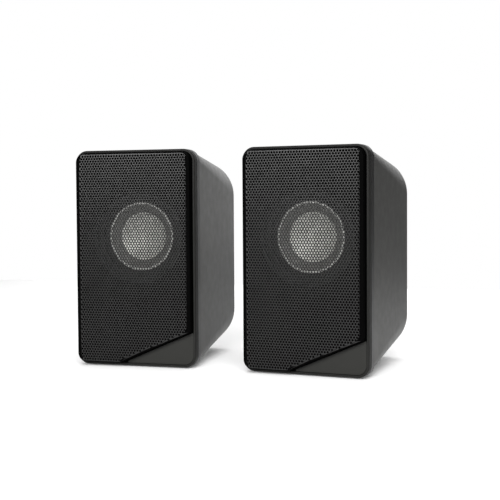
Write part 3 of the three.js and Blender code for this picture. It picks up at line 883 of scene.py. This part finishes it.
def voice_coil():
    """A winding on the rear end of a thin former."""
    inner, outer, winding = 7.7, 8.1, 8.5
    front, winding_front, winding_back, back = 16.9, 24.6, 28.7, 29
    return turned(
        [
            (inner, front),
            (outer, front),
            (outer, winding_front - 0.1),
            (winding - 0.1, winding_front),
            (winding, winding_front + 0.2),
            (winding, winding_back - 0.2),
            (winding - 0.1, winding_back),
            (outer, winding_back),
            (outer, back),
            (inner, back),
        ]
    )


CONE_RIM, CONE_EDGE, CONE_NECK = 20.3, 16.8, 8.2
CONE_FRONT, CONE_BACK = 9.3, 15.9


def cone():
    """A gently curved cone with a raised ring at its edge and a flat rim under the surround."""
    ring_inner, ring_outer, rise, sheet, steps = 17.0, 17.9, 0.3, 0.6, 14
    drop = CONE_BACK - CONE_FRONT - rise
    front = [
        (CONE_RIM, CONE_FRONT),
        (ring_outer + rise, CONE_FRONT),
        (ring_outer, CONE_FRONT - rise),
        (ring_inner, CONE_FRONT - rise),
    ]
    for i in range(steps + 1):
        t = i / steps
        r = CONE_EDGE + (CONE_NECK - CONE_EDGE) * i / steps
        front.append((r, CONE_FRONT + rise + drop * (0.8 * t + 0.2 * t * t)))
    back = [(r, y + sheet) for r, y in front][::-1]
    mesh = turned(front + back)
    # The ring's forward faces take the ring copy, a painted highlight. The sloped wall takes the darker copy,
    # painted shade.
    for face in mesh.polygons:
        middle = face.center / MM
        near_ring = ring_inner - 0.1 < math.hypot(middle.x, middle.z) < ring_outer + 0.2
        face.material_index = 1 if near_ring and middle.y < CONE_FRONT + 0.2 else 0
    return mesh


def dust_cap():
    """A shallow dish of one thickness."""
    r, front, sheet, steps = (CAP_HIGH.x - CAP_LOW.x) / 2, CAP_LOW.y, 0.5, 16
    dish = CAP_HIGH.y - CAP_LOW.y - sheet
    face = [(r * i / steps, front + dish * (1 - (i / steps) ** 2)) for i in range(steps + 1)]
    back = [(x, y + sheet) for x, y in face][::-1]
    return turned(face + back)


ROLL_OUT_Y, ROLL_IN_Y = 7.6, 8.5


def surround():
    """A half roll whose inner foot lies deeper than its outer one."""
    glued_r, outer_r, inner_r, foot_r, crest_y, sheet, steps = 24.1, 23.4, 20.3, 18.15, 6.55, 0.35, 16
    face = [(glued_r, ROLL_OUT_Y - sheet), (outer_r, ROLL_OUT_Y - sheet)]
    for i in range(1, steps):
        angle = math.pi * i / steps
        r = (outer_r + inner_r) / 2 + (outer_r - inner_r) / 2 * math.cos(angle)
        foot = ROLL_OUT_Y - sheet + (ROLL_IN_Y - ROLL_OUT_Y + sheet) * (1 - math.cos(angle)) / 2
        face.append((r, foot - (foot - crest_y) * math.sin(angle)))
    face += [(inner_r, ROLL_IN_Y), (foot_r, ROLL_IN_Y)]
    back = [(r, y + sheet) for r, y in face][::-1]
    return turned(face + back)


def gasket():
    """The ring that seals the driver against the baffle."""
    return washer(24.2, 25.4, BAFFLE_FACE + 0.1, BASKET_LOW.y - 0.1, 0.2)


SPIDER_OUT_Y, SPIDER_IN_Y = 18.0, 20.0


def spider():
    """A corrugated cup, deeper than the cone's travel."""
    inner, outer, sheet, waves, steps = 8.45, 16.4, 0.3, 5, 60
    face = []
    for i in range(steps + 1):
        t = i / steps
        ripple = 0.22 * math.sin(TAU * waves * t) * min(1, 8 * t, 8 * (1 - t))
        y = SPIDER_IN_Y + (SPIDER_OUT_Y - 0.15 - SPIDER_IN_Y) * t * (2 - t) + ripple
        face.append((inner + (outer - inner) * t, y))
    back = [(r, y + sheet) for r, y in face][::-1]
    return turned(face + back)


def terminal_strip():
    low, high = STRIP_LOW, STRIP_HIGH
    card = block(low, (high.x, low.y + 1.2, DRIVER_Z + 23.5), 0.15)
    tabs = [
        block((x - 1.1, low.y + 1, DRIVER_Z + 18.5), (x + 1.1, high.y, high.z), 0.15) for x in (-4, 4)
    ]
    return joined(card, *tabs)


# ---- amplifier and volume control ----


def amplifier_board():
    """A board with rounded corners and a screw hole near each."""
    low, high = BOARD_LOW, BOARD_HIGH
    middle = (low.z + high.z) / 2
    board = slab(rectangle(high.x - low.x, high.z - low.z, 1.5, 0, middle), low.y, high.y, 0.1, 6)
    across, up, hole_r = 10, 16, 1.6
    holes = [
        rod(x, middle + z, hole_r, low.y - 1, high.y + 1, 24) for x in (-across, across) for z in (-up, up)
    ]
    return carved(board, *holes)


def amplifier_chip():
    """The moulded body of a power package, with a dimple that marks its first leg."""
    low, high = CHIP_LOW, CHIP_HIGH
    body = block((low.x, low.y, low.z + 1.2), (high.x, high.y - 0.5, high.z - 1.2), 0.3)
    dimple = rod(low.x + 1.6, low.z + 2.6, 0.6, low.y - 1, low.y + 0.25, 24)
    return carved(body, dimple)


def chip_legs():
    """Two rows of bent legs, from the package down to the board."""
    low, high = CHIP_LOW, CHIP_HIGH
    legs = []
    for i in range(8):
        x = low.x + 1.75 + i * 1.5
        for edge, side in ((low.z, -1), (high.z, 1)):
            inner = edge - side * 1.3
            z0, z1 = sorted((inner, edge))
            legs.append(block((x - 0.25, high.y - 2, z0), (x + 0.25, high.y - 1.7, z1), 0.06))
            z0, z1 = sorted((edge, edge - side * 0.3))
            legs.append(block((x - 0.25, high.y - 2, z0), (x + 0.25, high.y + 0.2, z1), 0.06))
    return gathered(*legs)


def capacitor(r, length):
    """An electrolytic can: its crimped groove is near the board, and its end is in front."""
    back = BOARD_LOW.y - 0.1
    front = back - length
    return turned(
        [
            (0, front),
            (r - 0.6, front),
            *arc(r - 0.4, front + 0.4, 0.4, 270, 360, 4),
            (r, back - 2.2),
            (r - 0.35, back - 1.8),
            (r, back - 1.4),
            (r, back - 0.3),
            (r - 0.3, back),
            (0, back),
        ],
        40,
    )


def potentiometer():
    low, high = POT_LOW, POT_HIGH
    side = (high.x - low.x) / 2
    shoulder = DEPTH - SHELL_WALL - 0.3
    body = slab(rectangle(2 * side, 2 * side, 1.2), low.y, shoulder, 0.3, 5)
    bush = [(0, shoulder - 1), (3.6, shoulder - 1), (3.6, shoulder)]
    y = shoulder
    while y < high.y - 0.6:
        bush += [(3.6, y + 0.05), (3.4, y + 0.3), (3.6, y + 0.55)]
        y += 0.6
    bush += [(3.3, high.y), (0, high.y)]
    bore = rod(0, 0, 2.1, SHAFT_LOW.y - 0.3, high.y + 1)
    return carved(joined(body, turned(bush, 64)), bore)


def potentiometer_shaft():
    """A splined shaft with a slit end."""
    steps = 72
    r = (SHAFT_HIGH.x - SHAFT_LOW.x) / 2
    toothed = [r if i % 4 < 2 else r - 0.18 for i in range(steps)]
    low, high = SHAFT_LOW.y, SHAFT_HIGH.y
    rings = []
    for y, scale in ((low, 0.9), (low + 0.3, 1), (high - 0.4, 1), (high, 0.85)):
        ring = []
        for i, radius in enumerate(toothed):
            angle = TAU * i / steps
            ring.append((radius * scale * math.cos(angle), y, radius * scale * math.sin(angle)))
        rings.append(ring)
    slit = block((-0.3, high - 4, -3), (0.3, high + 1, 3), 0.05)
    return carved(skin(rings), slit)


def volume_knob():
    """A ribbed knob with a dished end and a pointer groove, which at rest is at the low end of its travel."""
    ribs, steps = 30, 180
    outer = (KNOB_HIGH.x - KNOB_LOW.x) / 2
    front, back = KNOB_LOW.y, KNOB_HIGH.y
    bore_end = SHAFT_HIGH.y + 0.3
    profile = [
        (0, bore_end),
        (2.1, bore_end),
        (2.1, front),
        (outer - 0.6, front),
        (outer - 0.1, front + 0.5),
        (outer - 0.1, front + 1.2),
        (outer, front + 1.5),
        (outer - 0.35, back - 1.6),
        (outer - 0.7, back - 0.8),
        (outer - 1.4, back - 0.15),
        (outer - 2.0, back),
        (outer - 2.6, back - 0.1),
        (outer - 3.2, back - 0.35),
        (0, back - 0.5),
    ]
    ribbed = range(6, 9)
    rings = []
    for k, (r, y) in enumerate(profile):
        ring = []
        for i in range(steps):
            angle = TAU * i / steps
            groove = 0.28 * (0.5 - 0.5 * math.cos(ribs * angle)) if k in ribbed else 0
            radius = max(r - groove, 1e-5)
            ring.append((radius * math.cos(angle), y, radius * math.sin(angle)))
        rings.append(ring)
    body = skin(rings)
    pointer = block((-0.45, back - 0.9, outer * 0.45), (0.45, back + 1, outer - 0.9), 0.1)
    low_turn, high_turn = next(j for j in frame["joints"] if j["name"] == "volume_turn")["range_deg"]
    pointer.transform(Matrix.Rotation(math.radians((high_turn - low_turn) / 2), 4, "Y"))
    return carved(body, pointer)


# ---- building the pair ----

DRIVER_AT = (0.0, DRIVER_Z)
FOOT_X, FOOT_Y = (PAD_LOW.x + PAD_HIGH.x) / 2, (PAD_LOW.y + PAD_HIGH.y) / 2
HEEL_Y = (HEEL_LOW.y + HEEL_HIGH.y) / 2


def build_case(speaker, shapes):
    place(speaker, "trim_frame", shapes["trim"], TRIM_PLASTIC, "black_plastic", ["trim_frame"])
    place(speaker, "grille", shapes["grille"], (RIM_COAT_PAINTED_SHADE, MESH_COAT_LIT_COPY), "grille_steel", ["grille"])
    place(speaker, "corner_plate", shapes["plate"], PLATE_PLASTIC, "corner_plate_plastic", ["corner_plate"])
    baffle_lit_and_shaded_blacks = (BLACK_PLASTIC, MATT_BLACK_PAINTED_SHADE)
    place(speaker, "front_baffle", shapes["baffle"], baffle_lit_and_shaded_blacks, "black_plastic", ["front_baffle"])
    for word, x in (("left", -FOOT_X), ("right", FOOT_X)):
        pad = moved(shapes["pad"], x, FOOT_Y, 0)
        place(speaker, f"front_pad_{word}", pad, PAD_RUBBER, "pad_rubber", [f"front_pad_{word}"])
    place(speaker, "heel_pad", moved(shapes["heel"], 0, HEEL_Y, 0), PAD_RUBBER, "pad_rubber", ["heel_pad"])
    for i, at in enumerate(PILLARS, 1):
        name = f"case_screw_{i}"
        place(speaker, name, shapes["case_screw"], ZINC, "zinc_steel", [name], at=at)


def build_driver(speaker, shapes):
    def part(name, material, slot, body="housings"):
        node = f"driver_{name}"
        return place(speaker, node, shapes[name], material, slot, [node], body, DRIVER_AT)

    part("basket", BASKET_COAT, "basket_steel")
    part("top_plate", ZINC, "zinc_steel")
    part("magnet", FERRITE, "ferrite")
    part("yoke", ZINC, "zinc_steel")
    part("voice_coil", COIL_COPPER, "coil_copper", speaker.cone_body)
    part("cone", (CONE_PAPER_PAINTED_SHADE, RING_PAPER_PAINTED_HIGHLIGHT), "cone_silver", speaker.cone_body)
    part("dust_cap", SILVER_CAP, "cone_silver", speaker.cone_body)
    node = "driver_terminal_strip"
    place(speaker, node, shapes["terminal_strip"], TERMINAL_FIBRE, "terminal_board", [node])
    place(speaker, "driver_gasket", shapes["gasket"], SURROUND_RUBBER, "surround_rubber", at=DRIVER_AT)
    for i, at in enumerate(EARS, 1):
        name = f"driver_screw_{i}"
        place(speaker, name, shapes["driver_screw"], ZINC, "zinc_steel", [name], at=at)
    flexible = (
        ("surround", SURROUND_RUBBER, "surround_rubber", ROLL_OUT_Y, ROLL_IN_Y),
        ("spider", SPIDER_CLOTH, "spider_cloth", SPIDER_OUT_Y + 0.2, SPIDER_IN_Y),
    )
    for name, material, slot, fixed_y, moving_y in flexible:
        piece = part(name, material, slot, body=None)
        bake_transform(piece)


def build_back(speaker, shapes):
    active = speaker is RIGHT
    shell = shapes[f"{speaker.side}_shell"]
    place(speaker, "rear_shell", shell, SHELL_PLASTIC, "shell_plastic", ["rear_shell"])
    at = (-GLAND_SPACING if active else 0.0, GLAND_Z)
    place(speaker, "cable_gland", shapes["gland"], GLAND_RUBBER, "gland_rubber", ["cable_gland"], at=at)
    if not active:
        return
    at = (GLAND_SPACING, GLAND_Z)
    place(speaker, "link_gland", shapes["gland"], GLAND_RUBBER, "gland_rubber", ["link_gland"], at=at)
    place(speaker, "amplifier_board", amplifier_board(), CIRCUIT_GREEN, "circuit_board", ["amplifier_board"])
    place(speaker, "amplifier_chip", amplifier_chip(), CHIP_PLASTIC, "chip_plastic", ["amplifier_chip"])
    place(speaker, "amplifier_chip_legs", chip_legs(), SOLDER, "zinc_steel")
    cans = ((-8.5, 80, 3.1, 11), (8.5, 80, 3.1, 11), (9.5, 70, 2.5, 7), (-9.5, 70, 2.5, 7))
    for i, (x, z, r, length) in enumerate(cans, 1):
        can = capacitor(r, length)
        place(speaker, f"capacitor_{i}", can, CAN_SLEEVE, "chip_plastic", at=(x, z))
    at = (0.0, KNOB_Z)
    place(speaker, "potentiometer", potentiometer(), ZINC, "zinc_steel", ["potentiometer"], at=at)
    shaft = potentiometer_shaft()
    turning = ("volume_control", at)
    place(speaker, "potentiometer_shaft", shaft, ZINC, "zinc_steel", ["potentiometer_shaft"], *turning)
    place(speaker, "volume_knob", volume_knob(), KNOB_PLASTIC, "knob_plastic", ["volume_knob"], *turning)


def build_pair():
    hole = 4.3
    left_holes = [(0, GLAND_Z, hole)]
    right_holes = [(-GLAND_SPACING, GLAND_Z, hole), (GLAND_SPACING, GLAND_Z, hole), (0, KNOB_Z, 3.9)]
    shapes = {
        "trim": trim_frame(),
        "grille": grille(),
        "plate": corner_plate(),
        "baffle": front_baffle(),
        "left_shell": rear_shell(left_holes),
        "right_shell": rear_shell(right_holes),
        "pad": front_pad(),
        "heel": heel_pad(),
        "gland": cable_gland(),
        "case_screw": screw(7.4, 20.3, 1.3, 2.0),
        "driver_screw": screw(4.7, 10.0, 1.3, 2.6),
        "basket": basket(),
        "top_plate": washer(9, 17, 25.2, 28.2),
        "magnet": washer(10.5, 18, 28.5, 36.5, 0.5),
        "yoke": yoke(),
        "voice_coil": voice_coil(),
        "cone": cone(),
        "dust_cap": dust_cap(),
        "surround": surround(),
        "spider": spider(),
        "gasket": gasket(),
        "terminal_strip": terminal_strip(),
    }
    for speaker in SPEAKERS:
        build_case(speaker, shapes)
        build_driver(speaker, shapes)
        build_back(speaker, shapes)


build_pair()

# ---- studio ----


def floor():
    finish = Finish("studio_floor", (0.86, 0.86, 0.86), 0.7, specular=0.1)
    finish.tint(400.0, 0.01).gloss(300.0, 0.03)
    finish.shader.inputs["Emission Color"].default_value = (1, 1, 1, 1)
    finish.shader.inputs["Emission Strength"].default_value = 0.1
    mesh = bpy.data.meshes.new("studio_floor")
    reach = 0.5
    corners = [(-reach, -reach, 0), (reach, -reach, 0), (reach, reach, 0), (-reach, reach, 0)]
    mesh.from_pydata(corners, [], [(0, 1, 2, 3)])
    mesh.materials.append(finish.material)
    sheet = bpy.data.objects.new("studio_floor", mesh)
    bpy.context.scene.collection.objects.link(sheet)


def softbox(name, place, target, size, power):
    light = bpy.data.lights.new(name, "AREA")
    light.shape = "RECTANGLE"
    light.size, light.size_y = size
    light.energy = power
    lamp = bpy.data.objects.new(name, light)
    lamp.location = place
    lamp.rotation_mode = "QUATERNION"
    lamp.rotation_quaternion = (Vector(target) - Vector(place)).to_track_quat("-Z", "Y")
    bpy.context.scene.collection.objects.link(lamp)


def studio_world(seen=1.0, cast=0.09):
    """White to the eye, and a softer grey as a source of light."""
    world = bpy.data.worlds.new("studio")
    world.use_nodes = True
    tree = world.node_tree
    background = tree.nodes["Background"]
    path = tree.nodes.new("ShaderNodeLightPath")
    strength = tree.nodes.new("ShaderNodeMapRange")
    strength.inputs["To Min"].default_value = cast
    strength.inputs["To Max"].default_value = seen
    tree.links.new(path.outputs["Is Camera Ray"], strength.inputs["Value"])
    tree.links.new(strength.outputs["Result"], background.inputs["Strength"])
    background.inputs["Color"].default_value = (1, 1, 1, 1)
    bpy.context.scene.world = world


def camera(location, yaw, pitch, roll, lens):
    """A camera, placed from the middle of the fronts' lower edges, turned by yaw and pitch, then rolled."""
    location = location + (LEFT.matrix.translation + RIGHT.matrix.translation) / 2
    yaw, pitch, roll = (math.radians(a) for a in (yaw, pitch, roll))
    forward = Vector((math.sin(yaw) * math.cos(pitch), math.cos(yaw) * math.cos(pitch), math.sin(pitch)))
    right = Vector((math.cos(yaw), -math.sin(yaw), 0))
    up = right.cross(forward)
    across = right * math.cos(roll) + up * math.sin(roll)
    upward = up * math.cos(roll) - right * math.sin(roll)
    data = bpy.data.cameras.new("camera")
    data.lens, data.sensor_width = lens, 36
    made = bpy.data.objects.new("camera", data)
    turned_to = Matrix((across, upward, -forward)).transposed().to_4x4()
    made.matrix_world = Matrix.Translation(location) @ turned_to
    bpy.context.scene.collection.objects.link(made)
    bpy.context.scene.camera = made


floor()
studio_world()
softbox("key", (0.30, -0.75, 0.45), (0, -0.04, 0.06), (0.6, 0.4), 12)
softbox("sheen", (-0.33, -0.80, 0.24), (0, -0.04, 0.10), (0.5, 0.2), 3.8)
softbox("overhead", (0.0, 0.25, 0.95), (0, 0.1, 0), (0.9, 0.9), 8)
softbox("backdrop", (-0.15, 0.75, 0.25), (0, 0, 0.06), (0.7, 0.5), 2.0)
camera(Vector((0.2119, -0.4994, 0.0844)), -21.215, -2.457, -0.36, 77.1)
bpy.context.scene.view_settings.view_transform = "Standard"
